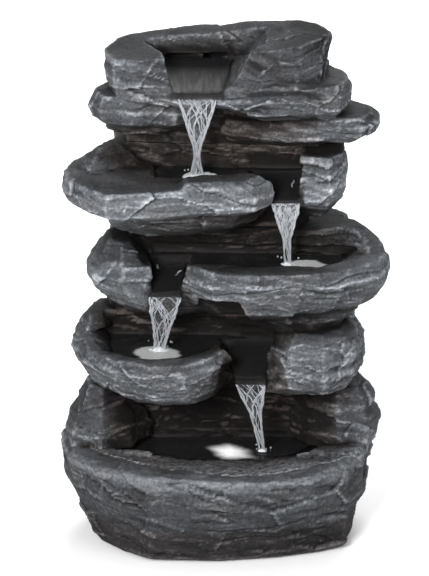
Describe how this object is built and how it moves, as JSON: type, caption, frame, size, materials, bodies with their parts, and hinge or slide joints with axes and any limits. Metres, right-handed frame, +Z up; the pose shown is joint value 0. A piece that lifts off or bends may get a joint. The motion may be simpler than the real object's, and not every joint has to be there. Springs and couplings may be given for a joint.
{
  "type": "tabletop water fountain",
  "caption": "Stacked slate-look tabletop fountain: water wells up at a notched crown rock and steps down through staggered lit bowls into a thick-rimmed basin with a hidden pump.",
  "frame": {"origin": "bottom centre of the overall box, on the surface it stands on", "axes": "+Z up, +Y to the rear where the access door is, +X to the viewer's right when facing the water"},
  "size_m": [0.18, 0.152, 0.28],
  "materials": {
    "cast_stone": "matte",
    "black_rubber": "matte",
    "foot_rubber": "matte",
    "pump_plastic": "satin",
    "dial_plastic": "satin",
    "impeller_plastic": "satin",
    "magnet": "satin",
    "pin_ceramic": "polished",
    "hose_vinyl": "satin",
    "lamp_plastic": "satin",
    "lamp_clear": "gloss",
    "lamp_emitter": "gloss",
    "lead_jacket": "satin",
    "water": "gloss"
  },
  "bodies": {
    "fountain": {"basin_section": "cast_stone", "lower_bowl_section": "cast_stone", "middle_bowl_section": "cast_stone", "slab_section": "cast_stone", "top_bowl_section": "cast_stone", "crown_section": "cast_stone", "cord_grommet": "black_rubber", "foot_pad_1": "foot_rubber", "suction_cup_1": "black_rubber", "foot_pad_2": "foot_rubber", "suction_cup_2": "black_rubber", "foot_pad_3": "foot_rubber", "suction_cup_3": "black_rubber", "foot_pad_4": "foot_rubber", "suction_cup_4": "black_rubber", "pump_housing": "pump_plastic", "volute_cover": "pump_plastic", "strainer_cover": "pump_plastic", "rotor_pin": "pin_ceramic", "front_bush": "black_rubber", "rear_bush": "black_rubber", "riser_hose": "hose_vinyl", "top_outlet_fitting": "pump_plastic", "basin_lamp_body": "lamp_plastic", "basin_lamp_emitter": "lamp_emitter", "basin_lamp_lens": "lamp_clear", "basin_lamp_lead": "lead_jacket", "lower_lamp_body": "lamp_plastic", "lower_lamp_emitter": "lamp_emitter", "lower_lamp_lens": "lamp_clear", "lower_lamp_lead": "lead_jacket", "middle_lamp_body": "lamp_plastic", "middle_lamp_emitter": "lamp_emitter", "middle_lamp_lens": "lamp_clear", "middle_lamp_lead": "lead_jacket", "pump_lead": "lead_jacket", "lead_junction": "lamp_plastic"},
    "door": {"rear_access_door": "cast_stone"},
    "dial": {"flow_dial": "dial_plastic"},
    "rotor": {"impeller": "impeller_plastic", "rotor_magnet": "magnet"}
  },
  "joints": [
    {"name": "door_slide", "type": "slide", "parent": "fountain", "child": "door", "axis": [0, 1, 0], "range_m": [0, 0.06]},
    {"name": "flow_dial_turn", "type": "hinge", "parent": "fountain", "child": "dial", "pos_m": [0, 0.0235, 0.024], "axis": [0, 1, 0], "range_deg": [0, 90]},
    {"name": "impeller_spin", "type": "hinge", "parent": "fountain", "child": "rotor", "pos_m": [0, 0.04, 0.024], "axis": [0, 1, 0], "continuous": true}
  ]
}
